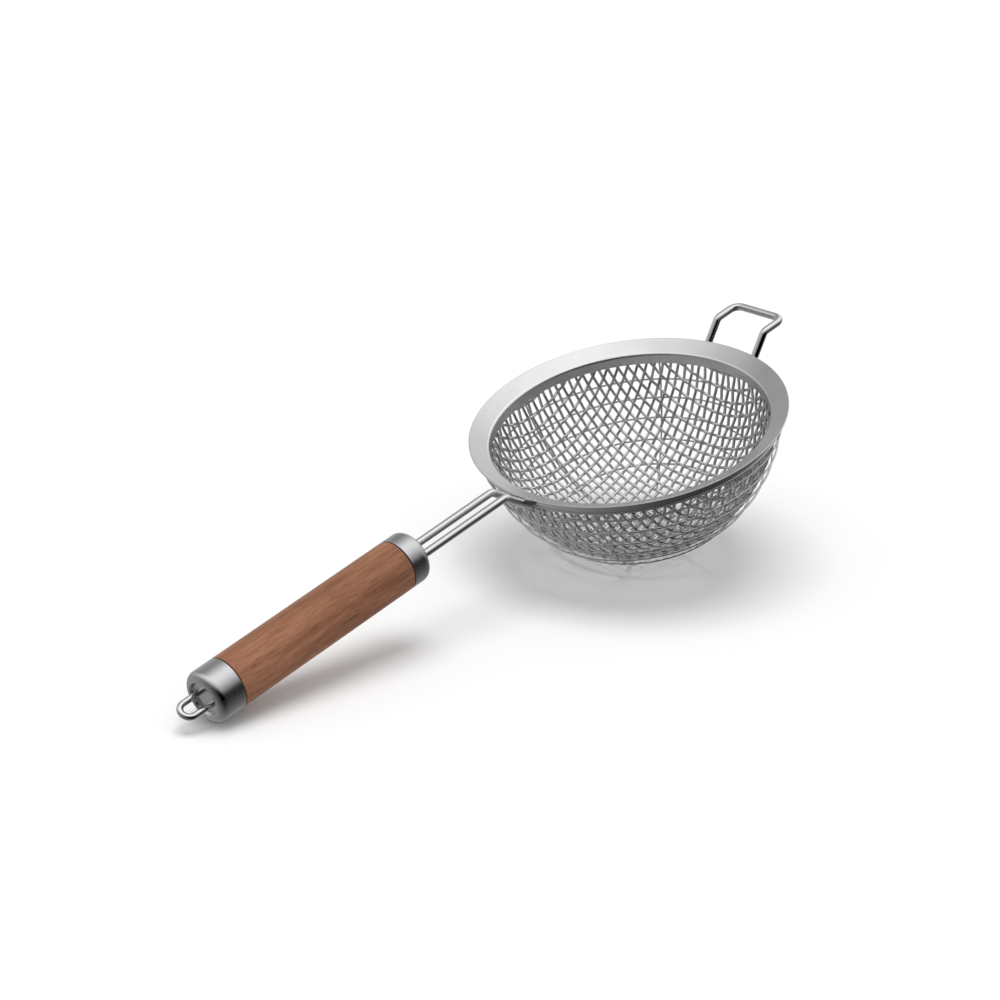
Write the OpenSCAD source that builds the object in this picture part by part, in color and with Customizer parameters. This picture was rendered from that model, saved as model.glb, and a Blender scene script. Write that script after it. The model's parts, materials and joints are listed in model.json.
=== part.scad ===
// Double sieve strainer, lying at rest on a level surface.
// A fine woven bowl hangs inside a coarse cage of rings and ribs. Both are
// held under a flared sheet rim, with a wooden handle on two round rods at
// one side and a bent rod hook at the other.
// Every sub-part is drawn in the strainer's own frame: Z is the axis of the
// bowl, Z = 0 is the crease of the rim, and the handle runs along -X.
// at_rest() then tips the whole strainer back onto its bowl and handle end.

/* [Rim] */
// Outer diameter of the flared rim
rim_d = 180; // [170:1:200]
// Height from the crease of the rim to its outer edge
rim_rise = 4.5; // [3.5:0.1:6]
// Inside diameter of the lip that hangs down inside the rim
lip_d = 157.7; // [157.2:0.1:157.7]
// Depth of the lip below the crease
lip_depth = 6.4; // [5:0.1:6.4]
// Thickness of the rim and band sheet
sheet_t = 0.6; // [0.5:0.05:0.6]
// Radius of the bend between lip and flare, on the visible side
crease_r = 2.2; // [1.5:0.1:3]
// Inside diameter of the outer band under the flare
band_d = 170; // [169.8:0.1:170.2]
// Depth of the outer band below the crease
band_depth = 3.25; // [3:0.05:4]

/* [Bowls] */
// Height of the centre of both bowls above the crease
bowl_center_z = 11; // [10.5:0.1:11]
// Radius of the outer rings' centreline sphere
cage_r = 86.5; // [86.5:0.05:86.8]
// Wire diameter of the outer rings and ribs
cage_wire_d = 1.1; // [0.9:0.1:1.1]
// Depth of the first outer ring below the crease
ring_first_depth = 8.4; // [7:0.1:10]
// Spacing of the outer rings in depth
ring_pitch = 10; // [9:0.1:11]
// Radius of the middle surface of the woven bowl
mesh_r = 83.1; // [83.08:0.01:83.12]
// Wire diameter of the woven bowl
mesh_wire_d = 1.7; // [1.2:0.1:1.7]
// Spacing of the wires in the weave
mesh_pitch = 4.9; // [4:0.1:5.6]
// Diameter of the wire that finishes the upper edge of the woven bowl
edge_wire_d = 1.6; // [1.2:0.1:1.6]

/* [Handle] */
// Diameter of the wooden grip and its two metal ends
handle_d = 28.8; // [26:0.1:32]
// Height of the handle's axis above the crease
handle_z = 12.1; // [11:0.1:14]
// Distance from the bowl's axis to the front of the ferrule
ferrule_x = 167.6; // [160:0.1:180]
// Length of the front ferrule
ferrule_len = 13; // [12:0.1:16]
// Length of the visible wood between the two metal ends
wood_len = 117.7; // [100:0.1:130]
// Length of the rear cap
cap_len = 16.8; // [15:0.1:20]
// Radius of the rounded edge on both metal ends
end_round_r = 4.4; // [3:0.1:4.6]
// Depth of the dished face of the rear cap
dish_depth = 2; // [1.5:0.1:2.4]
// Diameter of the two handle rods
rod_d = 4.4; // [3.6:0.1:4.6]
// Distance between the two handle rods, centre to centre
rod_gap = 10.5; // [9.5:0.1:13]

/* [Hanging loop] */
// Wire diameter of the hanging loop
loop_wire_d = 3.5; // [2.8:0.1:3.8]
// Width of the hanging loop, centre to centre
loop_w = 9; // [8:0.1:10]
// How far the loop stands out behind the rear cap
loop_len = 15.1; // [13:0.1:20]
// Twist of the loop about the handle's axis
loop_twist = 26.4; // [0:0.1:45]

/* [Hook] */
// Rod diameter of the rest hook
hook_d = 4.4; // [3.8:0.1:4.6]
// Width of the hook, centre to centre of its two legs
hook_w = 34.7; // [30:0.1:38]
// Distance from the bowl's axis to the hook's crossbar
hook_x = 117.3; // [114:0.1:125]
// Height of the crossbar above the crease
hook_z = 13.5; // [12:0.1:15]

/* [Hidden] */
$fn = 48;

// One name for every separate piece of the strainer.

// Slope of the flare, and the height of its upper surface at radius r.
flare_slope = rim_rise / ((rim_d - lip_d) / 2 - 0.6);
flare_angle = atan(flare_slope);
function flare_z(r) = rim_rise - (rim_d / 2 - r) * flare_slope;

// Spheres of the cage's ribs and of the two wire families of the weave.
rib_r = cage_r - cage_wire_d;
weave_step = mesh_wire_d / 2 + 0.025;
warp_r = mesh_r + weave_step;
weft_r = mesh_r - weave_step;

// Where the wires end, tucked in between the lip and the band.
rib_top_z = -1;
edge_wire_z = -edge_wire_d / 2 - 0.1;
edge_wire_r = sqrt(pow(mesh_r, 2) - pow(bowl_center_z - edge_wire_z, 2));
weave_top_z = edge_wire_z - edge_wire_d / 2;
smallest_arc_r = 22;

// First rib's direction: the ribs stand either side of the handle.
rib_start = 30;
rib_step = 60;
pole_gap = 0.8;

// Stations along the handle, as distances from the bowl's axis.
washer_t = 0.6;
wood_front_x = ferrule_x + ferrule_len;
wood_rear_x = wood_front_x + wood_len;
handle_end_x = wood_rear_x + cap_len;

// Shells of the metal ends and the wooden spigots inside them.
shell_t = 1.5;
front_wall_t = 3;
spigot_r = handle_d / 2 - shell_t;
front_spigot_len = ferrule_len - front_wall_t;
rear_wall_t = 2;
rear_spigot_len = cap_len - dish_depth - rear_wall_t;
rod_depth = 62;
leg_depth = 24;

// The handle rods bend down under the rim and end on the band.
rod_bend_x = 103.2;
rod_bend_r = 5;
band_outer_r = band_d / 2 + sheet_t;
rod_foot_x = sqrt(pow(band_outer_r, 2) - pow(rod_gap / 2, 2)) + 1.1;
rod_foot_z = -2.3;

// The hook's legs rise from the band and bend level with the crossbar.
hook_bend_x = 100.6;
hook_bend_r = 4;
hook_corner_r = 5.5;
hook_foot_x = sqrt(pow(band_outer_r, 2) - pow(hook_w / 2, 2)) + 1.1;
hook_foot_z = -3;

// The strainer tips back until the handle's end meets the surface that the
// lowest ribs rest on. rib_contact_r is how far the ribs reach towards it.
tip_guess = 13.4;
rib_tip = atan(tan(tip_guess) * cos(rib_start));
rib_contact_r = (rib_r + cage_wire_d / 2)
    * (sin(tip_guess) * cos(rib_start) * sin(rib_tip) + cos(tip_guess) * cos(rib_tip));
cap_edge_x = handle_end_x - end_round_r;
cap_edge_z = handle_z - handle_d / 2 + end_round_r - bowl_center_z;
rest_span = sqrt(pow(cap_edge_x, 2) + pow(cap_edge_z, 2));
rest_tip = asin((rib_contact_r - end_round_r) / rest_span) - atan2(-cap_edge_z, cap_edge_x);
rest_lift = rib_contact_r - bowl_center_z * cos(rest_tip);
x_max = hook_x * cos(rest_tip) - hook_z * sin(rest_tip) + hook_d / 2;
x_min = -(handle_end_x + loop_len - loop_wire_d / 2) * cos(rest_tip)
    - handle_z * sin(rest_tip) - loop_wire_d / 2;

// Tips the strainer onto its bowl and handle end, centred over the origin.
module at_rest() {
    translate([-(x_max + x_min) / 2, 0, rest_lift])
        rotate([0, -rest_tip, 0])
            children();
}

// Points of an arc about c, from angle a to angle b.
function arc(c, r, a, b, n = 8) = [
    for (i = [0 : n]) c + r * [cos(a + (b - a) * i / n), sin(a + (b - a) * i / n)]
];

// A straight round rod between two points.
module rod(p, q, d) {
    v = q - p;
    translate(p)
        rotate([0, acos(v[2] / norm(v)), atan2(v[1], v[0])])
            cylinder(d = d, h = norm(v));
}

// A round rod bent to an arc about the origin, in the XY plane.
module bent(r, d, a, b) {
    rotate([0, 0, a])
        rotate_extrude(angle = b - a)
            translate([r, 0])
                circle(d = d);
}

// A hair-thin ball where a straight rod runs into a bend, which makes the two
// one solid.
module blend_ball(p, d) {
    translate(p)
        sphere(d = d + 0.06);
}

// A round rod in the XZ plane: a level run out to x_far at height z_top, and
// a bend of radius r that drops it to the foot at x_near, z_foot.
module dropped_rod(x_far, x_bend, z_top, x_near, z_foot, r, d) {
    drop = atan2(z_top - z_foot, x_bend - x_near);
    t = r * tan(drop / 2);
    bend_top = [x_bend + t, 0, z_top];
    bend_foot = [x_bend - t * cos(drop), 0, z_top - t * sin(drop)];
    rod([x_far, 0, z_top], bend_top, d);
    blend_ball(bend_top, d);
    translate(bend_top - [0, 0, r])
        rotate([90, 0, 0])
            bent(r, d, 90, 90 + drop);
    blend_ball(bend_foot, d);
    rod(bend_foot, [x_near, 0, z_foot], d);
}

// Flared rim with its rounded crease and the lip inside it, as bent sheet.
module rim_flare() {
    lip_r = lip_d / 2;
    bend_x = lip_r + crease_r;
    bend_z = flare_z(bend_x) - crease_r / cos(flare_angle);
    edge_r = sheet_t / 2;
    edge = [rim_d / 2 - edge_r, flare_z(rim_d / 2 - edge_r) - edge_r / cos(flare_angle)];
    color("silver") at_rest()
        rotate_extrude($fn = 180)
            polygon(concat(
                arc([lip_r + edge_r, -lip_depth + edge_r], edge_r, 360, 180, 6),
                arc([bend_x, bend_z], crease_r, 180, 90 + flare_angle),
                arc(edge, edge_r, 90 + flare_angle, -90 + flare_angle, 6),
                arc([bend_x, bend_z], crease_r - sheet_t, 90 + flare_angle, 180)
            ));
}

// Outer band under the flare, with a rolled bead along its lower edge.
module rim_band() {
    inner = band_d / 2;
    bead_r = 0.65;
    bead = [inner + bead_r, -band_depth + bead_r];
    top_gap = sheet_t / cos(flare_angle) + 0.02;
    color("darkgray") at_rest()
        rotate_extrude($fn = 180)
            polygon(concat(
                arc(bead, bead_r, 180, 360 + acos((sheet_t - bead_r) / bead_r), 12),
                [
                    [inner + sheet_t, flare_z(inner + sheet_t) - top_gap],
                    [inner, flare_z(inner) - top_gap]
                ]
            ));
}

// One family of wires of the woven bowl. Each wire lies in its own upright
// plane, so it is an arc of the circle that the plane cuts from the sphere.
module sieve_wires(sphere_r) {
    count = floor(sqrt(pow(sphere_r, 2) - pow(smallest_arc_r, 2)) / mesh_pitch);
    for (i = [-count : count]) {
        arc_r = sqrt(pow(sphere_r, 2) - pow(i * mesh_pitch, 2));
        end_angle = asin((bowl_center_z - weave_top_z) / arc_r);
        translate([i * mesh_pitch, 0, bowl_center_z])
            rotate([90, 0, 90])
                bent(arc_r, mesh_wire_d, 180 + end_angle, 360 - end_angle, $fn = 16);
    }
}

module inner_sieve_warp() {
    color("lightgray") at_rest() sieve_wires(warp_r);
}

module inner_sieve_weft() {
    color("gainsboro") at_rest() rotate([0, 0, 90]) sieve_wires(weft_r);
}

// Wire that finishes the woven bowl's upper edge, hidden under the flare.
module inner_sieve_edge_wire() {
    color("gray") at_rest()
        translate([0, 0, edge_wire_z])
            rotate_extrude($fn = 120)
                translate([edge_wire_r, 0])
                    circle(d = edge_wire_d, $fn = 24);
}

// Ring number k of the cage, counted down from the rim.
module cage_ring(k) {
    z = -ring_first_depth - (k - 1) * ring_pitch;
    ring_r = sqrt(pow(cage_r, 2) - pow(bowl_center_z - z, 2));
    color("gray") at_rest()
        translate([0, 0, z])
            rotate_extrude($fn = 120)
                translate([ring_r, 0])
                    circle(d = cage_wire_d, $fn = 24);
}

// Rib number k of the cage: an arc from under the band to the bowl's pole.
module cage_rib(k) {
    top_angle = asin((bowl_center_z - rib_top_z) / rib_r);
    pole_angle = 90 - asin(pole_gap / rib_r);
    color("dimgray") at_rest()
        translate([0, 0, bowl_center_z])
            rotate([90, 0, rib_start + (k - 1) * rib_step])
                bent(rib_r, cage_wire_d, -pole_angle, -top_angle, $fn = 24);
}

// One handle rod: welded to the band, bent level, and set into the wood.
module handle_rod(side) {
    color("silver") at_rest()
        translate([0, side * rod_gap / 2, 0])
            rotate([0, 0, 180])
                dropped_rod(
                    wood_front_x + rod_depth, rod_bend_x, handle_z,
                    rod_foot_x, rod_foot_z, rod_bend_r, rod_d
                );
}

module handle_rod_left() {
    handle_rod(1);
}

module handle_rod_right() {
    handle_rod(-1);
}

// Moves a shape whose axis is Z onto the handle's axis, with its base at
// distance x from the bowl's axis and its height running away from the bowl.
module on_handle(x) {
    translate([-x, 0, handle_z])
        rotate([0, -90, 0])
            children();
}

// The two round holes or bores for the handle rods.
module rod_bores(depth) {
    for (side = [-1, 1])
        translate([0, side * rod_gap / 2, -1])
            cylinder(d = rod_d, h = depth + 1);
}

// The two round holes or bores for the legs of the hanging loop.
module loop_bores(low, high) {
    rotate([0, 0, loop_twist])
        for (side = [-1, 1])
            translate([0, side * loop_w / 2, low])
                cylinder(d = loop_wire_d, h = high - low);
}

// Front ferrule: a cup over the wood, with a hole for each handle rod.
module front_ferrule() {
    outer = handle_d / 2;
    color("silver") at_rest()
        on_handle(ferrule_x)
            difference() {
                rotate_extrude($fn = 96)
                    polygon(concat(
                        [[0, 0]],
                        arc([outer - end_round_r, end_round_r], end_round_r, -90, 0, 6),
                        [
                            [outer, ferrule_len - washer_t],
                            [spigot_r, ferrule_len - washer_t],
                            [spigot_r, front_wall_t],
                            [0, front_wall_t]
                        ]
                    ));
                rod_bores(front_wall_t + 1);
            }
}

// Thin dark washer between a metal end and the shoulder of the wood.
module handle_washer(x) {
    color("black") at_rest()
        on_handle(x)
            difference() {
                cylinder(r = handle_d / 2 - 0.35, h = washer_t, $fn = 96);
                translate([0, 0, -1])
                    cylinder(r = spigot_r, h = washer_t + 2, $fn = 96);
            }
}

module front_washer() {
    handle_washer(wood_front_x - washer_t);
}

module rear_washer() {
    handle_washer(wood_rear_x);
}

// Wooden grip: a turned cylinder with eased shoulders, a spigot at each end,
// two bores for the handle rods and two for the legs of the hanging loop.
module wood_grip() {
    outer = handle_d / 2;
    ease = 0.4;
    color("sienna") at_rest()
        on_handle(wood_front_x)
            difference() {
                rotate_extrude($fn = 96)
                    polygon([
                        [0, -front_spigot_len],
                        [spigot_r, -front_spigot_len],
                        [spigot_r, 0],
                        [outer - ease, 0],
                        [outer, ease],
                        [outer, wood_len - ease],
                        [outer - ease, wood_len],
                        [spigot_r, wood_len],
                        [spigot_r, wood_len + rear_spigot_len],
                        [0, wood_len + rear_spigot_len]
                    ]);
                translate([0, 0, -front_spigot_len])
                    rod_bores(front_spigot_len + rod_depth);
                loop_bores(wood_len - leg_depth, wood_len + rear_spigot_len + 1);
            }
}

// Rear cap: a cup over the wood with a rounded edge and a dished end face.
module rear_cap() {
    outer = handle_d / 2;
    crest_r = outer - end_round_r;
    floor_z = cap_len - dish_depth;
    color("silver") at_rest()
        on_handle(wood_rear_x)
            difference() {
                rotate_extrude($fn = 96)
                    polygon(concat(
                        [
                            [0, floor_z - rear_wall_t],
                            [spigot_r, floor_z - rear_wall_t],
                            [spigot_r, washer_t],
                            [outer, washer_t]
                        ],
                        arc([outer - end_round_r, cap_len - end_round_r], end_round_r, 0, 90, 6),
                        [[crest_r - dish_depth / 2, floor_z], [0, floor_z]]
                    ));
                loop_bores(-1, cap_len + 1);
            }
}

// Hanging loop: a bent wire whose two legs go through the cap into the wood.
module hanging_loop() {
    half_w = loop_w / 2;
    tip_z = cap_len + loop_len - loop_wire_d / 2 - half_w;
    color("silver") at_rest()
        on_handle(wood_rear_x)
            rotate([0, 0, loop_twist]) {
                for (side = [-1, 1]) {
                    rod([0, side * half_w, -leg_depth], [0, side * half_w, tip_z], loop_wire_d);
                    blend_ball([0, side * half_w, tip_z], loop_wire_d);
                }
                translate([0, 0, tip_z])
                    rotate([90, 0, 90])
                        bent(half_w, loop_wire_d, 0, 180);
            }
}

// Half of the rest hook: one leg, its bend, the level run and one corner.
module hook_half() {
    turn_x = hook_x - hook_corner_r;
    translate([0, hook_w / 2, 0])
        dropped_rod(turn_x, hook_bend_x, hook_z, hook_foot_x, hook_foot_z, hook_bend_r, hook_d);
    blend_ball([turn_x, hook_w / 2, hook_z], hook_d);
    translate([turn_x, hook_w / 2 - hook_corner_r, hook_z])
        bent(hook_corner_r, hook_d, 0, 90);
    blend_ball([hook_x, hook_w / 2 - hook_corner_r, hook_z], hook_d);
}

// Rest hook: one rod bent into a bracket that stands out from the rim.
module rest_hook() {
    bar = hook_w / 2 - hook_corner_r;
    color("silver") at_rest() {
        hook_half();
        mirror([0, 1, 0]) hook_half();
        rod([hook_x, -bar, hook_z], [hook_x, bar, hook_z], hook_d);
    }
}

rim_flare();
rim_band();
inner_sieve_warp();
inner_sieve_weft();
inner_sieve_edge_wire();
cage_ring(1);  // cage_ring_1
cage_ring(2);  // cage_ring_2
cage_ring(3);  // cage_ring_3
cage_ring(4);  // cage_ring_4
cage_ring(5);  // cage_ring_5
cage_ring(6);  // cage_ring_6
cage_rib(1);  // cage_rib_1
cage_rib(2);  // cage_rib_2
cage_rib(3);  // cage_rib_3
cage_rib(4);  // cage_rib_4
cage_rib(5);  // cage_rib_5
cage_rib(6);  // cage_rib_6
handle_rod_left();
handle_rod_right();
front_ferrule();
front_washer();
wood_grip();
rear_washer();
rear_cap();
hanging_loop();
rest_hook();
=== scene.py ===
import json
import math

import bpy
import numpy as np
from mathutils import Matrix, Vector


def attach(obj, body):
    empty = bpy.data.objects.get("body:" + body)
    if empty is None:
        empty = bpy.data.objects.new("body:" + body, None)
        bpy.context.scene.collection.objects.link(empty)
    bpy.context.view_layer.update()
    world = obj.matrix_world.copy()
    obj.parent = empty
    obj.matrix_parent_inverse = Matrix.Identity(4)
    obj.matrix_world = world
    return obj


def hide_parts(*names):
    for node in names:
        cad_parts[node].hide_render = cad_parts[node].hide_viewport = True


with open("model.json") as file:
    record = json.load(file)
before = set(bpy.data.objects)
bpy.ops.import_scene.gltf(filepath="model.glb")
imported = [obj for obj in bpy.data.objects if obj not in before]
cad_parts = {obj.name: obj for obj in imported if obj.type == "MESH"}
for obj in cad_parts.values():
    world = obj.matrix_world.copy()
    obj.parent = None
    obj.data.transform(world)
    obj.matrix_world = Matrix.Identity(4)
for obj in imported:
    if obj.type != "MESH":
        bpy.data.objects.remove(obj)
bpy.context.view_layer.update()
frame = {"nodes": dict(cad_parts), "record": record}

MM = 0.001

# ---------------------------------------------------------------- dimensions, in millimetres
# The strainer's own frame: Z is the bowl's axis, Z = 0 the rim's crease, and the handle runs
# along -X. The record's grip mount says how that frame lies in the row frame.

# the rim's sheet and the band under it
RIM_R = 90.0
RIM_RISE = 4.5
LIP_R = 78.85
LIP_DEPTH = 6.4
SHEET = 0.6
CREASE_R = 2.2
BAND_R = 85.0
BAND_DEPTH = 3.25
BAND_CLEAR = 0.02
BEAD_R = 0.65
FLARE_SLOPE = RIM_RISE / (RIM_R - LIP_R - SHEET)
FLARE_ANGLE = math.degrees(math.atan(FLARE_SLOPE))
FLARE_COS = math.cos(math.atan(FLARE_SLOPE))

# the cage; its rings and ribs lie on spheres round a point on the axis
BOWL_Z = 11.0
CAGE_R = 86.5
CAGE_WIRE_R = 0.55
RINGS = 6
RING_FIRST = 8.4
RING_PITCH = 10.0
RIBS = 6
RIB_R = CAGE_R - 2 * CAGE_WIRE_R
RIB_TOP_Z = -1.0
POLE_GAP = 0.8

# the woven bowl; with DRAPE 1 the flat cloth's cells would only stretch down the bowl, and with
# DRAPE 0 they would only narrow round it
MESH_R = 83.1
MESH_WIRE_R = 0.85
MESH_PITCH = 4.9
MESH_TOP_Z = -1.7
CRIMP = 0.45
WIRE_STEP = 0.8
SMALLEST_ARC_R = 22.0
DRAPE = 0.75
CLOTH_R = MESH_R / DRAPE * math.sin(DRAPE * math.acos((BOWL_Z - MESH_TOP_Z) / MESH_R))

# the handle
HANDLE_R = 14.4
HANDLE_Z = 12.1
FERRULE_X = 167.6
FERRULE_LEN = 13.0
FERRULE_WALL = 3.0
WOOD_LEN = 117.7
WOOD_EDGE_R = 0.4
FRONT_SPIGOT = 8.0
REAR_SPIGOT = 9.0
CAP_LEN = 16.8
CAP_WALL = 2.0
END_ROUND = 4.4
SHELL_EDGE_R = 0.25
SPIGOT_R = HANDLE_R - 1.5
DISH = 2.0
DISH_LEAN = 2.0
DISH_CREST_R = 0.7
DISH_FILLET_R = 0.8
WASHER = 0.6
WOOD_X = FERRULE_X + FERRULE_LEN
CAP_X = WOOD_X + WOOD_LEN
END_X = CAP_X + CAP_LEN
AXIS_R = 0.01

# the rods, the hanging loop and the hook
FOOT_GAP = 1.1
ROD_R = 2.2
ROD_Y = 5.25
ROD_FOOT_Z = -2.3
ROD_BEND_X = 103.2
ROD_BEND_R = 5.0
ROD_END_X = WOOD_X + 20
LOOP_R = 1.75
LOOP_Y = 4.5
LOOP_LEN = 15.1
LOOP_TWIST = math.radians(26.4)
LOOP_FOOT_X = CAP_X + 4
HOOK_R = 2.2
HOOK_Y = 17.35
HOOK_X = 117.3
HOOK_Z = 13.5
HOOK_FOOT_Z = -3.0
HOOK_BEND_X = 100.6
HOOK_BEND_R = 4.0
HOOK_CORNER_R = 5.5
WELD_RISE = 0.9

# how finely things are divided
BOWL_STEPS = 288
HANDLE_STEPS = 128
RING_STEPS = 180
RIB_STEPS = 90
MESH_SIDES = 10
CAGE_SIDES = 12
ROD_SIDES = 20

MOUNTS = {m["name"]: m for m in frame["record"]["mounts"]}
GRIP = MOUNTS["handle_grip"]
FORWARD = -Vector(GRIP["axis"]).normalized()
SIDE = Vector((0, 1, 0))
UP = FORWARD.cross(SIDE)
AXES = np.array([FORWARD, SIDE, UP])
GRIP_MID_X = WOOD_X + WOOD_LEN / 2
CREASE = Vector(GRIP["pos_m"]) + FORWARD * GRIP_MID_X * MM - UP * HANDLE_Z * MM
TIP = math.atan2(FORWARD.z, FORWARD.x)


def to_row(points):
    """Points of the strainer's own frame, in mm, in the row frame, in metres."""
    return np.array(CREASE) + MM * np.asarray(points, float) @ AXES


# ---------------------------------------------------------------- mesh building
def make_piece(name, parts, material, replaced=()):
    """One named piece from a list of (points in mm, faces)."""
    points, faces, start = [], [], 0
    for part_points, part_faces in parts:
        points.append(np.asarray(part_points, float))
        faces.extend([tuple(i + start for i in f) for f in part_faces])
        start += len(part_points)
    mesh = bpy.data.meshes.new(name)
    mesh.from_pydata(to_row(np.concatenate(points)).tolist(), [], faces)
    mesh.validate()
    mesh.shade_smooth()
    mesh.materials.append(material)
    piece = bpy.data.objects.new(name, mesh)
    bpy.context.scene.collection.objects.link(piece)
    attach(piece, "root")
    if replaced:
        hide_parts(*replaced)


def arc(centre, r, a, b, n):
    """Points of an arc in a profile, angles in degrees."""
    angles = np.radians(np.linspace(a, b, n))
    return [(centre[0] + r * math.cos(t), centre[1] + r * math.sin(t)) for t in angles]


def guarded(profile, guard=0.12):
    """Adds a point close to both ends of each long straight run, so its shading stays flat."""
    out = []
    n = len(profile)
    for i in range(n):
        p = np.array(profile[i])
        q = np.array(profile[(i + 1) % n])
        out.append(tuple(p))
        length = np.linalg.norm(q - p)
        if length > 6 * guard:
            out.append(tuple(p + (q - p) * guard / length))
            out.append(tuple(q - (q - p) * guard / length))
    return out


def lathe(profile, segments, place):
    """A closed profile of (radius, height) turned round an axis.
    place puts (x, y, height) in the own frame."""
    angles = np.linspace(0, 2 * math.pi, segments, endpoint=False)
    points, faces = [], []
    n = len(profile)
    for t in angles:
        c, s = math.cos(t), math.sin(t)
        points.extend([place(r * c, r * s, h) for r, h in profile])
    for i in range(segments):
        a, b = i * n, (i + 1) % segments * n
        for k in range(n):
            m = (k + 1) % n
            faces.append((a + k, b + k, b + m, a + m))
    return points, faces


def on_bowl(x, y, h):
    """Height h is the height above the rim's crease."""
    return (x, y, h)


def on_handle(x, y, h):
    """Height h is the distance from the bowl's axis along the handle."""
    return (-h, y, HANDLE_Z + x)


def tube(path, radius, sides, closed=False, radii=None):
    """A round tube along a path, with frames carried along it; an open one has flat ends."""
    path = np.asarray(path, float)
    n = len(path)
    if closed:
        tangent = np.roll(path, -1, 0) - np.roll(path, 1, 0)
    else:
        tangent = np.gradient(path, axis=0)
    tangent /= np.linalg.norm(tangent, axis=1)[:, None]
    seed = np.array([0.0, 0, 1]) if abs(tangent[0][2]) < 0.9 else np.array([1.0, 0, 0])
    normal = np.cross(tangent[0], seed)
    normal /= np.linalg.norm(normal)
    angles = np.linspace(0, 2 * math.pi, sides, endpoint=False)
    points = []
    for i in range(n):
        normal = normal - tangent[i] * np.dot(normal, tangent[i])
        normal /= np.linalg.norm(normal)
        other = np.cross(tangent[i], normal)
        r = radius if radii is None else radii[i]
        for t in angles:
            points.append(path[i] + r * (math.cos(t) * normal + math.sin(t) * other))
    faces = []
    for i in range(n if closed else n - 1):
        a, b = i * sides, (i + 1) % n * sides
        for k in range(sides):
            m = (k + 1) % sides
            faces.append((a + k, a + m, b + m, b + k))
    if not closed:
        faces.append(tuple(reversed(range(sides))))
        faces.append(tuple(range((n - 1) * sides, n * sides)))
    return points, faces


def eased_tube(path, radius, sides, edge):
    """A tube whose two cut ends have a rounded edge of this length."""
    path = [np.asarray(p, float) for p in path]
    first = (path[1] - path[0]) / np.linalg.norm(path[1] - path[0])
    last = (path[-1] - path[-2]) / np.linalg.norm(path[-1] - path[-2])
    steps = [(0.0, 0.7), (0.12, 0.86), (0.35, 0.95), (1.0, 1.0)]
    head = [path[0] + first * edge * s for s, _ in steps]
    tail = [path[-1] - last * edge * s for s, _ in reversed(steps)]
    inner = path[1:-1]
    growing = [radius * k for _, k in steps]
    radii = growing + [radius] * len(inner) + growing[::-1]
    return tube(head + inner + tail, radius, sides, radii=radii)


def rounded_path(corners, radii, longest=3.6, bend_steps=12):
    """Straight runs between corners, with each inner corner rounded to a radius."""
    corners = [np.asarray(c, float) for c in corners]
    out = [corners[0]]
    for i in range(1, len(corners) - 1):
        u = corners[i - 1] - corners[i]
        v = corners[i + 1] - corners[i]
        u /= np.linalg.norm(u)
        v /= np.linalg.norm(v)
        radius = radii[i - 1]
        half = math.acos(float(np.clip(np.dot(u, v), -1, 1))) / 2
        back = radius / math.tan(half)
        middle = corners[i] + (u + v) / np.linalg.norm(u + v) * radius / math.sin(half)
        a = corners[i] + u * back - middle
        b = corners[i] + v * back - middle
        turn = math.acos(float(np.clip(np.dot(a, b) / (radius ** 2), -1, 1)))
        for k in range(bend_steps + 1):
            f = k / bend_steps
            w = (math.sin((1 - f) * turn) * a + math.sin(f * turn) * b) / math.sin(turn)
            out.append(middle + w)
    out.append(corners[-1])
    filled = [out[0]]
    for p, q in zip(out, out[1:]):
        n = max(1, int(np.linalg.norm(q - p) / longest))
        filled.extend([p + (q - p) * (k + 1) / n for k in range(n)])
    return filled


def blob(centre, sizes, axes, rings=7, sides=10):
    """A small weld bead: an uneven ellipsoid with its own three axes."""
    centre = np.asarray(centre, float)
    axes = np.asarray(axes, float)
    points, faces = [], []
    for i in range(rings):
        polar = math.pi * (i + 0.5) / rings
        for k in range(sides):
            t = 2 * math.pi * k / sides
            ring = math.sin(polar)
            d = np.array([ring * math.cos(t), ring * math.sin(t), math.cos(polar)])
            wobble = 1 + 0.06 * math.sin(3 * t + centre[0]) * ring
            points.append(centre + (d * np.array(sizes) * wobble) @ axes)
    for i in range(rings - 1):
        a, b = i * sides, (i + 1) * sides
        for k in range(sides):
            m = (k + 1) % sides
            faces.append((a + k, a + m, b + m, b + k))
    faces.append(tuple(reversed(range(sides))))
    faces.append(tuple(range((rings - 1) * sides, rings * sides)))
    return points, faces


# ---------------------------------------------------------------- materials
class Tree:
    """A node tree with short calls for the nodes used here."""

    def __init__(self, tree):
        self.tree = tree
        self.tree.nodes.clear()

    def add(self, kind):
        return self.tree.nodes.new(kind)

    def link(self, source, target):
        self.tree.links.new(source, target)

    def math(self, operation, a, b=None):
        node = self.add("ShaderNodeMath")
        node.operation = operation
        for socket, value in zip(node.inputs, (a, b)):
            if isinstance(value, (int, float)):
                socket.default_value = value
            elif value is not None:
                self.link(value, socket)
        return node.outputs[0]

    def vector(self, operation, a, b):
        node = self.add("ShaderNodeVectorMath")
        node.operation = operation
        for socket, value in zip(node.inputs, (a, b)):
            if isinstance(value, tuple):
                socket.default_value = value
            else:
                self.link(value, socket)
        return node.outputs["Value" if operation == "DOT_PRODUCT" else "Vector"]


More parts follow.
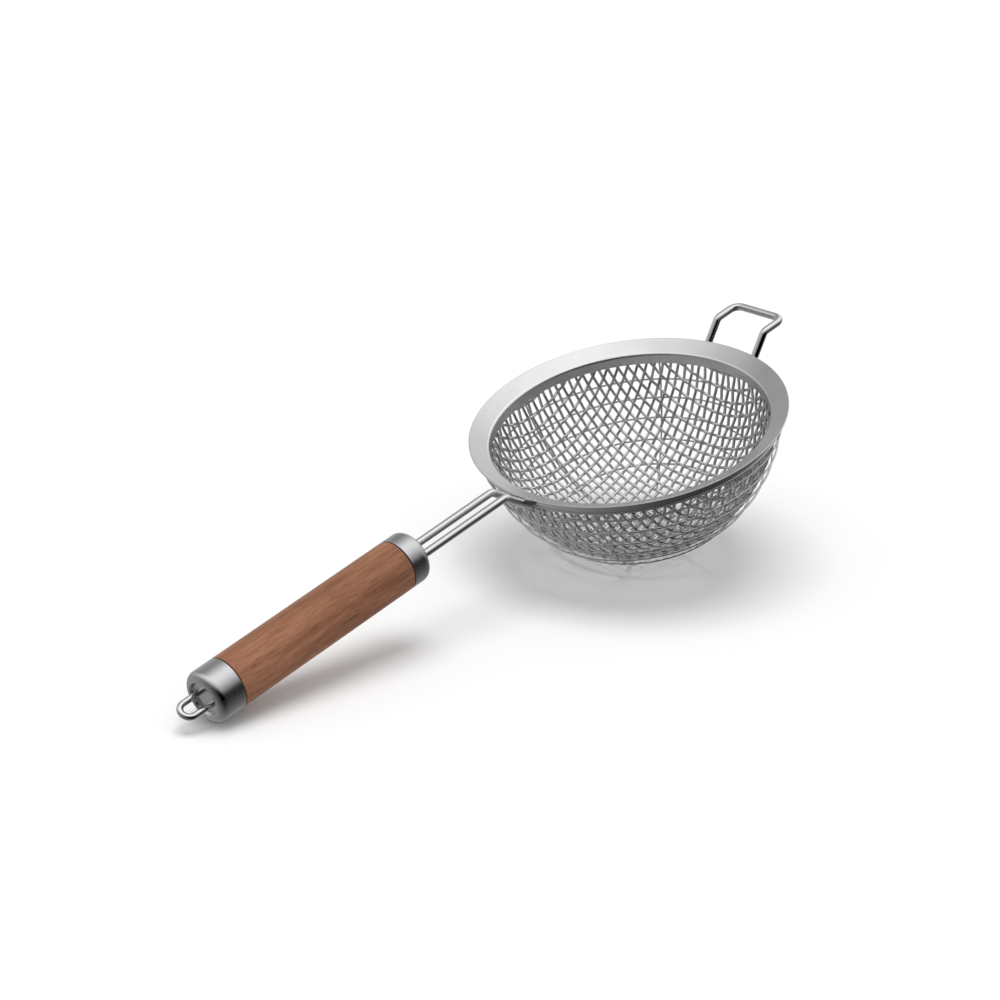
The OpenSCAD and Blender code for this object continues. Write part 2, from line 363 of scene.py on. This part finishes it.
class Finish(Tree):
    """A material with one shader, whose patterns are set in the strainer's own frame."""

    def __init__(self, name):
        self.material = bpy.data.materials.new(name)
        self.material.use_nodes = True
        super().__init__(self.material.node_tree)
        self.shader = self.add("ShaderNodeBsdfPrincipled")
        out = self.add("ShaderNodeOutputMaterial")
        self.link(self.shader.outputs[0], out.inputs["Surface"])

    def own_frame(self):
        """Coordinates in the strainer's own frame, in metres."""
        coords = self.add("ShaderNodeTexCoord")
        shifted = self.vector("SUBTRACT", coords.outputs["Object"], tuple(CREASE))
        turn = self.add("ShaderNodeVectorRotate")
        turn.rotation_type = "Y_AXIS"
        turn.inputs["Angle"].default_value = TIP
        self.link(shifted, turn.inputs["Vector"])
        return turn.outputs[0]

    def stretched(self, coords, scales):
        return self.vector("MULTIPLY", coords, scales)

    def all_three(self, value):
        """A vector with one value on all three axes."""
        node = self.add("ShaderNodeCombineXYZ")
        for socket in node.inputs:
            self.link(value, socket)
        return node.outputs[0]

    def noise(self, coords, scale, detail, rough=0.55):
        node = self.add("ShaderNodeTexNoise")
        node.inputs["Scale"].default_value = scale
        node.inputs["Detail"].default_value = detail
        node.inputs["Roughness"].default_value = rough
        self.link(coords, node.inputs["Vector"])
        return node.outputs["Fac"]

    def spread(self, value, low, high, low_in=0.3, high_in=0.7):
        """Spreads the middle of a pattern's range over low to high."""
        node = self.add("ShaderNodeMapRange")
        self.link(value, node.inputs["Value"])
        node.inputs["From Min"].default_value = low_in
        node.inputs["From Max"].default_value = high_in
        node.inputs["To Min"].default_value = low
        node.inputs["To Max"].default_value = high
        return node.outputs["Result"]

    def ramp(self, value, stops):
        node = self.add("ShaderNodeValToRGB")
        self.link(value, node.inputs["Fac"])
        elements = node.color_ramp.elements
        while len(elements) < len(stops):
            elements.new(0.5)
        for element, (place, colour) in zip(elements, stops):
            element.position = place
            element.color = (*colour, 1)
        return node.outputs["Color"]

    def mix(self, factor, a, b, blend="MIX"):
        node = self.add("ShaderNodeMix")
        node.data_type = "RGBA"
        node.blend_type = blend
        self.link(factor, node.inputs[0])
        for socket, value in ((node.inputs[6], a), (node.inputs[7], b)):
            if isinstance(value, tuple):
                socket.default_value = (*value, 1)
            else:
                self.link(value, socket)
        return node.outputs[2]

    def bump(self, height, strength, distance):
        node = self.add("ShaderNodeBump")
        node.inputs["Strength"].default_value = strength
        node.inputs["Distance"].default_value = distance
        self.link(height, node.inputs["Height"])
        self.link(node.outputs[0], self.shader.inputs["Normal"])


def round_bowl(finish, fine, coarse):
    """Coordinates that change fast across a mark that runs round the bowl, and slowly along it."""
    split = finish.add("ShaderNodeSeparateXYZ")
    finish.link(finish.own_frame(), split.inputs[0])
    x, y, z = split.outputs
    xx = finish.math("MULTIPLY", x, x)
    yy = finish.math("MULTIPLY", y, y)
    r = finish.math("SQRT", finish.math("ADD", xx, yy))
    outward = finish.math("ADD", r, finish.math("MULTIPLY", z, 0.7))
    joined = finish.add("ShaderNodeCombineXYZ")
    finish.link(finish.math("MULTIPLY", outward, fine), joined.inputs[0])
    for socket, side in ((joined.inputs[1], x), (joined.inputs[2], y)):
        finish.link(finish.math("MULTIPLY", finish.math("DIVIDE", side, r), coarse), socket)
    return joined.outputs[0]


def steel(name, tones, roughness, brushed=None, bump=0.0, mark=0.12):
    """Stainless steel with faint patches of tone, uneven gloss and fine marks.
    brushed says what the marks follow, and mark how dark they are."""
    finish = Finish(name)
    shader = finish.shader
    shader.inputs["Metallic"].default_value = 1.0
    own = finish.own_frame()
    fine = 900.0
    patches = finish.noise(own, 38.0, 4.0)
    if brushed == "bowl":
        marks = finish.noise(round_bowl(finish, fine, 3.0), 1.0, 4.0, 0.7)
    elif brushed == "handle":
        marks = finish.noise(finish.stretched(own, (fine, 40.0, 40.0)), 1.0, 4.0, 0.7)
    else:
        marks = finish.noise(own, fine, 3.0, 0.6)
    tone = finish.mix(finish.spread(patches, 0.0, 1.0), tones[0], tones[1])
    tone = finish.mix(finish.spread(marks, 0.0, mark), tone, (0.3, 0.3, 0.31), "MULTIPLY")
    finish.link(tone, shader.inputs["Base Color"])
    uneven = finish.spread(patches, -0.02, 0.03)
    gloss = finish.math("ADD", uneven, finish.spread(marks, roughness[0], roughness[1]))
    finish.link(gloss, shader.inputs["Roughness"])
    if bump:
        finish.bump(marks, bump, 0.0002)
    return finish.material


def walnut():
    """Oiled red-brown wood: streaks along the handle, darker bands, and small open pores."""
    finish = Finish("walnut")
    shader = finish.shader
    own = finish.own_frame()
    wander = finish.noise(finish.stretched(own, (14.0, 30.0, 30.0)), 1.0, 3.0)
    sway = finish.stretched(finish.all_three(wander), (0.0, 0.004, 0.004))
    bent = finish.vector("ADD", own, sway)
    bands = finish.noise(finish.stretched(bent, (16.0, 130.0, 130.0)), 1.0, 5.0, 0.68)
    streaks = finish.noise(finish.stretched(bent, (75.0, 820.0, 820.0)), 1.0, 5.0, 0.7)
    pores = finish.noise(finish.stretched(bent, (130.0, 1500.0, 1500.0)), 1.0, 2.0, 0.5)
    base = finish.ramp(bands, [
        (0.30, (0.185, 0.077, 0.036)),
        (0.45, (0.265, 0.113, 0.056)),
        (0.58, (0.325, 0.144, 0.075)),
        (0.72, (0.385, 0.178, 0.096)),
    ])
    streak_mask = finish.spread(streaks, 0.0, 0.6, 0.38, 0.66)
    base = finish.mix(streak_mask, base, (0.55, 0.42, 0.36), "MULTIPLY")
    pore_mask = finish.spread(pores, 0.0, 0.5, 0.62, 0.72)
    base = finish.mix(pore_mask, base, (0.28, 0.16, 0.11), "MULTIPLY")
    finish.link(base, shader.inputs["Base Color"])
    dry_pores = finish.spread(pores, 0.0, 0.2, 0.6, 0.7)
    gloss = finish.math("ADD", finish.spread(streaks, 0.36, 0.48), dry_pores)
    finish.link(gloss, shader.inputs["Roughness"])
    shader.inputs["Specular IOR Level"].default_value = 0.38
    height = finish.math("SUBTRACT", finish.math("MULTIPLY", streaks, 0.5), pore_mask)
    finish.bump(height, 0.35, 0.0002)
    return finish.material


def fibre():
    """Dark matt fibre of the washers."""
    finish = Finish("dark_fibre")
    grain = finish.noise(finish.own_frame(), 1400.0, 4.0, 0.6)
    tone = finish.ramp(grain, [(0.3, (0.008, 0.006, 0.005)), (0.7, (0.03, 0.022, 0.018))])
    finish.link(tone, finish.shader.inputs["Base Color"])
    finish.link(finish.spread(grain, 0.6, 0.9), finish.shader.inputs["Roughness"])
    finish.bump(grain, 0.3, 0.0001)
    return finish.material


# ---------------------------------------------------------------- the rim
def flare_z(r):
    """Height of the flare's upper face at this radius."""
    return RIM_RISE - (RIM_R - r) * FLARE_SLOPE


def rim_profile():
    edge_r = SHEET / 2
    bend_r = LIP_R + CREASE_R
    bend = (bend_r, flare_z(bend_r) - CREASE_R / FLARE_COS)
    tip_r = RIM_R - edge_r
    tip = (tip_r, flare_z(tip_r) - edge_r / FLARE_COS)
    profile = arc((LIP_R + edge_r, -LIP_DEPTH + edge_r), edge_r, 360, 180, 9)
    profile += arc(bend, CREASE_R, 180, 90 + FLARE_ANGLE, 14)
    profile += arc(tip, edge_r, 90 + FLARE_ANGLE, -90 + FLARE_ANGLE, 9)
    profile += arc(bend, CREASE_R - SHEET, 90 + FLARE_ANGLE, 180, 10)
    return guarded(profile)


def band_profile():
    bead = (BAND_R + BEAD_R, -BAND_DEPTH + BEAD_R)
    under = SHEET / FLARE_COS + BAND_CLEAR
    outer_face = 360 + math.degrees(math.acos((SHEET - BEAD_R) / BEAD_R))
    profile = arc(bead, BEAD_R, 180, outer_face, 18)
    profile.append((BAND_R + SHEET, flare_z(BAND_R + SHEET) - under))
    profile.append((BAND_R, flare_z(BAND_R) - under))
    return guarded(profile)


def build_rim(sheet_steel):
    flare = lathe(rim_profile(), BOWL_STEPS, on_bowl)
    make_piece("rim_sheet", [flare], sheet_steel, ["rim_flare"])
    band = lathe(band_profile(), BOWL_STEPS, on_bowl)
    make_piece("rim_outer_band", [band], sheet_steel, ["rim_band"])


# ---------------------------------------------------------------- the woven bowl
def woven_wire(i, lift, turned):
    """Wire i of one family. The flat cloth is pressed over the sphere, which stretches its cells
    towards the rim, and the wire is crimped over and under the other family; lift is +1 or -1."""
    across = i * MESH_PITCH
    reach = math.sqrt(CLOTH_R ** 2 - across ** 2)
    count = max(24, int(2 * reach / WIRE_STEP))
    along = np.linspace(-reach, reach, count)
    slow_drift = 0.10 * np.sin(0.045 * along + 2.3 * i)
    quick_drift = 0.05 * np.sin(0.13 * along + 1.1 * i * lift)
    side = across + slow_drift + quick_drift
    flat = np.hypot(along, side)
    polar = np.arcsin(np.minimum(flat, CLOTH_R) * DRAPE / MESH_R) / DRAPE
    height = MESH_R + lift * CRIMP * np.cos(math.pi * (along / MESH_PITCH + i))
    out = height * np.sin(polar) / np.maximum(flat, 1e-6)
    depth = BOWL_Z - height * np.cos(polar)
    if turned:
        return np.stack([along * out, side * out, depth], 1)
    return np.stack([side * out, along * out, depth], 1)


def build_weave(wire_steel):
    count = int(math.sqrt(CLOTH_R ** 2 - SMALLEST_ARC_R ** 2) / MESH_PITCH)
    for name, node, lift, turned in (
        ("woven_bowl_warp", "inner_sieve_warp", 1, False),
        ("woven_bowl_weft", "inner_sieve_weft", -1, True),
    ):
        wires = []
        for i in range(-count, count + 1):
            wires.append(tube(woven_wire(i, lift, turned), MESH_WIRE_R, MESH_SIDES))
        make_piece(name, wires, wire_steel, [node])


# ---------------------------------------------------------------- the cage
def ring_z(k):
    return -RING_FIRST - (k - 1) * RING_PITCH


def ring_radius(k):
    return math.sqrt(CAGE_R ** 2 - (BOWL_Z - ring_z(k)) ** 2)


def rib_azimuth(k):
    return math.radians(360 / RIBS * (k - 0.5))


def build_rings(wire_steel):
    angles = np.linspace(0, 2 * math.pi, RING_STEPS, endpoint=False)
    for k in range(1, RINGS + 1):
        r = ring_radius(k)
        level = np.full(RING_STEPS, ring_z(k))
        path = np.stack([r * np.cos(angles), r * np.sin(angles), level], 1)
        ring = tube(path, CAGE_WIRE_R, CAGE_SIDES, closed=True)
        make_piece(f"cage_hoop_{k}", [ring], wire_steel, [f"cage_ring_{k}"])


def build_ribs(wire_steel):
    low = math.asin(POLE_GAP / RIB_R)
    high = math.acos((BOWL_Z - RIB_TOP_Z) / RIB_R)
    polar = np.linspace(low, high, RIB_STEPS)
    r = RIB_R * np.sin(polar)
    z = BOWL_Z - RIB_R * np.cos(polar)
    for k in range(1, RIBS + 1):
        a = rib_azimuth(k)
        path = np.stack([r * math.cos(a), r * math.sin(a), z], 1)
        rib = eased_tube(path, CAGE_WIRE_R, CAGE_SIDES, 0.2)
        make_piece(f"cage_wire_rib_{k}", [rib], wire_steel, [f"cage_rib_{k}"])


def build_cage_welds(wire_steel):
    """A small flattened bead where each rib touches each ring."""
    beads = []
    for k in range(1, RINGS + 1):
        for j in range(1, RIBS + 1):
            a = rib_azimuth(j)
            flat = ring_radius(k) / CAGE_R
            out = np.array([flat * math.cos(a), flat * math.sin(a), (ring_z(k) - BOWL_Z) / CAGE_R])
            along = np.array([-math.sin(a), math.cos(a), 0.0])
            middle = np.array([0, 0, BOWL_Z]) + out * (CAGE_R - CAGE_WIRE_R)
            beads.append(blob(middle, (0.78, 0.62, 0.7), [along, out, np.cross(along, out)]))
    make_piece("cage_weld_beads", beads, wire_steel)


# ---------------------------------------------------------------- handle rods and hook
def foot_x(y):
    """Where a rod's end stands just off the band, at this distance from the middle plane."""
    return math.sqrt((BAND_R + SHEET) ** 2 - y ** 2) + FOOT_GAP


def rod_corners(side):
    y = side * ROD_Y
    foot = (-foot_x(ROD_Y), y, ROD_FOOT_Z)
    return [foot, (-ROD_BEND_X, y, HANDLE_Z), (-ROD_END_X, y, HANDLE_Z)]


def build_rods(bright):
    for side, name in ((1, "left"), (-1, "right")):
        path = rounded_path(rod_corners(side), [ROD_BEND_R])
        rod = eased_tube(path, ROD_R, ROD_SIDES, 0.5)
        make_piece(f"handle_bent_rod_{name}", [rod], bright, [f"handle_rod_{name}"])


def hook_corners():
    foot = (foot_x(HOOK_Y), -HOOK_Y, HOOK_FOOT_Z)
    right = [foot, (HOOK_BEND_X, -HOOK_Y, HOOK_Z), (HOOK_X, -HOOK_Y, HOOK_Z)]
    left = [(x, -y, z) for x, y, z in reversed(right)]
    return right + left


def build_hook(bright):
    path = rounded_path(hook_corners(), [HOOK_BEND_R, HOOK_CORNER_R, HOOK_CORNER_R, HOOK_BEND_R])
    rod = eased_tube(path, HOOK_R, ROD_SIDES, 0.5)
    make_piece("rest_bracket", [rod], bright, ["rest_hook"])


def build_foot_welds(sheet_steel):
    """Fillet beads where the handle rods and the hook's legs meet the band."""
    beads = []
    r = BAND_R + SHEET
    for x_sign, foot_y, foot_z, size in ((-1, ROD_Y, ROD_FOOT_Z, 1.7), (1, HOOK_Y, HOOK_FOOT_Z, 1.6)):
        for y in (foot_y, -foot_y):
            x = x_sign * math.sqrt(r ** 2 - y ** 2)
            out = np.array([x / r, y / r, 0])
            along = np.array([-out[1], out[0], 0])
            sizes = (size * 1.45, size * 0.55, size * 0.8)
            axes = [along, out, np.array([0, 0, 1.0])]
            beads.append(blob((x, y, foot_z + WELD_RISE), sizes, axes, 9, 14))
    make_piece("foot_weld_beads", beads, sheet_steel)


# ---------------------------------------------------------------- the handle
def ferrule_profile():
    shoulder = HANDLE_R - END_ROUND
    lip = HANDLE_R - SHELL_EDGE_R
    open_x = WOOD_X - WASHER
    wall_x = FERRULE_X + FERRULE_WALL
    profile = [(AXIS_R, FERRULE_X)]
    profile += arc((shoulder, FERRULE_X + END_ROUND), END_ROUND, -90, 0, 12)
    profile += arc((lip, open_x - SHELL_EDGE_R), SHELL_EDGE_R, 0, 90, 5)
    profile += [(SPIGOT_R, open_x), (SPIGOT_R, wall_x), (AXIS_R, wall_x)]
    return guarded(profile)


def cap_profile():
    shoulder = HANDLE_R - END_ROUND
    lip = HANDLE_R - SHELL_EDGE_R
    open_x = CAP_X + WASHER
    floor_x = END_X - DISH
    wall_x = floor_x - CAP_WALL
    profile = [(AXIS_R, wall_x), (SPIGOT_R, wall_x), (SPIGOT_R, open_x)]
    profile += arc((lip, open_x + SHELL_EDGE_R), SHELL_EDGE_R, -90, 0, 5)
    profile += arc((shoulder, END_X - END_ROUND), END_ROUND, 0, 90, 12)
    profile += arc((shoulder, END_X - DISH_CREST_R), DISH_CREST_R, 98, 150, 6)
    profile += arc((shoulder - DISH_LEAN, floor_x + DISH_FILLET_R), DISH_FILLET_R, -28, -90, 7)
    profile += [(AXIS_R, floor_x)]
    return guarded(profile)


def grip_profile():
    front_x = WOOD_X - FRONT_SPIGOT
    rear_x = CAP_X + REAR_SPIGOT
    edge = HANDLE_R - WOOD_EDGE_R
    profile = [(AXIS_R, front_x), (SPIGOT_R, front_x), (SPIGOT_R, WOOD_X)]
    profile += arc((edge, WOOD_X + WOOD_EDGE_R), WOOD_EDGE_R, -90, 0, 7)
    profile += arc((edge, CAP_X - WOOD_EDGE_R), WOOD_EDGE_R, 0, 90, 7)
    profile += [(SPIGOT_R, CAP_X), (SPIGOT_R, rear_x), (AXIS_R, rear_x)]
    return guarded(profile)


def build_handle(handle_steel, wood):
    for name, profile, material, slot_name, node in (
        ("ferrule_shell", ferrule_profile(), handle_steel, "handle_metal", "front_ferrule"),
        ("cap_shell", cap_profile(), handle_steel, "handle_metal", "rear_cap"),
        ("turned_grip", grip_profile(), wood, "walnut", "wood_grip"),
    ):
        make_piece(name, [lathe(profile, HANDLE_STEPS, on_handle)], material, [node])


def build_loop(bright):
    tip_x = END_X + LOOP_LEN - LOOP_R - LOOP_Y
    angles = np.linspace(0, math.pi, 28)
    flat = [(-LOOP_Y, h) for h in np.linspace(LOOP_FOOT_X, tip_x, 6)]
    flat += [(-LOOP_Y * math.cos(t), tip_x + LOOP_Y * math.sin(t)) for t in angles[1:-1]]
    flat += [(LOOP_Y, h) for h in np.linspace(tip_x, LOOP_FOOT_X, 6)]
    c, s = math.cos(LOOP_TWIST), math.sin(LOOP_TWIST)
    path = [(-h, u * c, HANDLE_Z + u * s) for u, h in flat]
    loop = tube(path, LOOP_R, ROD_SIDES)
    make_piece("hanging_wire_loop", [loop], bright, ["hanging_loop"])


# ---------------------------------------------------------------- stage
def build_floor():
    half = 8
    corners = [(-half, -half, 0), (half, -half, 0), (half, half, 0), (-half, half, 0)]
    mesh = bpy.data.meshes.new("floor")
    mesh.from_pydata(corners, [], [(0, 1, 2, 3)])
    floor = bpy.data.objects.new("floor", mesh)
    bpy.context.scene.collection.objects.link(floor)
    finish = Finish("pale_floor")
    finish.shader.inputs["Base Color"].default_value = (0.86, 0.86, 0.86, 1)
    finish.shader.inputs["Roughness"].default_value = 0.9
    finish.shader.inputs["Specular IOR Level"].default_value = 0.0
    mesh.materials.append(finish.material)
    floor.visible_glossy = False


def build_overhead():
    """A wide soft light from almost straight above."""
    data = bpy.data.lights.new("overhead", "SUN")
    data.energy = 1.7
    data.angle = math.radians(42)
    lamp = bpy.data.objects.new("overhead", data)
    lamp.rotation_euler = Vector((0.10, 0.10, 0.98)).to_track_quat("Z", "Y").to_euler()
    lamp.visible_glossy = False
    bpy.context.scene.collection.objects.link(lamp)


def background(tree, strength, grey=1.0):
    node = tree.add("ShaderNodeBackground")
    node.inputs["Color"].default_value = (grey, grey, grey, 1)
    if isinstance(strength, float):
        node.inputs["Strength"].default_value = strength
    else:
        tree.link(strength, node.inputs["Strength"])
    return node.outputs[0]


def chosen(tree, factor, off, on):
    """The shader off where the factor is 0, and the shader on where it is 1."""
    node = tree.add("ShaderNodeMixShader")
    tree.link(factor, node.inputs["Fac"])
    tree.link(off, node.inputs[1])
    tree.link(on, node.inputs[2])
    return node.outputs[0]


def slope_light(tree, direction, slope, level):
    """A light level that grows evenly along one direction."""
    return tree.math("ADD", tree.vector("DOT_PRODUCT", direction, slope), level)


def build_studio():
    """White behind the object, even soft light on it, and a smoothly graded room for the metal
    to mirror: an upper slope, kept low towards the front, over a faint lower one."""
    world = bpy.data.worlds.new("studio")
    bpy.context.scene.world = world
    world.use_nodes = True
    tree = Tree(world.node_tree)
    out = tree.add("ShaderNodeOutputWorld")
    ray = tree.add("ShaderNodeLightPath").outputs
    direction = tree.add("ShaderNodeTexCoord").outputs["Generated"]
    upper = slope_light(tree, direction, (-0.87, -2.48, -1.64), 3.46)
    front = slope_light(tree, direction, (0.60, 0.60, 1.90), -0.10)
    lower = slope_light(tree, direction, (0.03, 0.28, -0.06), 0.26)
    graded = tree.math("MAXIMUM", tree.math("MINIMUM", upper, front), lower)
    room = background(tree, tree.math("MINIMUM", graded, 1.6), 0.8)
    around = chosen(tree, ray["Is Glossy Ray"], background(tree, 0.68), room)
    seen = chosen(tree, ray["Is Camera Ray"], around, background(tree, 1.0))
    tree.link(seen, out.inputs["Surface"])
    world.cycles.sampling_method = "NONE"


def build_camera():
    data = bpy.data.cameras.new("camera")
    camera = bpy.data.objects.new("camera", data)
    data.sensor_width = 36.0
    data.lens = 97.414
    data.clip_start = 0.05
    data.clip_end = 60
    place = (-0.947517, -0.943029, 0.612943)
    azimuth, elevation, roll = map(math.radians, (45.2437, 22.4622, 0.1726))
    flat = math.cos(elevation)
    ahead = Vector((math.sin(azimuth) * flat, math.cos(azimuth) * flat, -math.sin(elevation)))
    level = ahead.cross(Vector((0, 0, 1))).normalized()
    right = level * math.cos(roll) + level.cross(ahead) * math.sin(roll)
    top = right.cross(ahead)
    turn = Matrix((right, top, -ahead)).transposed().to_4x4()
    camera.matrix_world = Matrix.Translation(place) @ turn
    bpy.context.scene.collection.objects.link(camera)
    bpy.context.scene.camera = camera


def paint_node(name, material):
    """Gives a carried-over CAD node one material on all its slots."""
    node = frame["nodes"][name]
    node.data.materials.clear()
    node.data.materials.append(material)


def build():
    sheet_steel = steel("rim_steel", ((0.72, 0.72, 0.73), (0.79, 0.79, 0.80)), (0.20, 0.24),
                        "bowl", mark=0.05)
    sieve_steel = steel("sieve_wire", ((0.70, 0.70, 0.71), (0.82, 0.82, 0.83)), (0.14, 0.24))
    cage_steel = steel("cage_wire", ((0.74, 0.74, 0.75), (0.84, 0.84, 0.85)), (0.14, 0.22))
    bright = steel("bright_rod", ((0.70, 0.70, 0.71), (0.76, 0.76, 0.77)), (0.05, 0.10))
    handle_steel = steel("handle_metal", ((0.55, 0.55, 0.56), (0.62, 0.62, 0.63)), (0.20, 0.27),
                         "handle", bump=0.03)
    dark = fibre()
    build_rim(sheet_steel)
    build_weave(sieve_steel)
    build_rings(cage_steel)
    build_ribs(cage_steel)
    build_cage_welds(cage_steel)
    build_rods(bright)
    build_hook(bright)
    build_foot_welds(sheet_steel)
    build_handle(handle_steel, walnut())
    build_loop(bright)
    paint_node("inner_sieve_edge_wire", sieve_steel)
    paint_node("front_washer", dark)
    paint_node("rear_washer", dark)
    build_floor()
    build_studio()
    build_overhead()
    build_camera()
    bpy.context.scene.view_settings.view_transform = "Standard"


build()
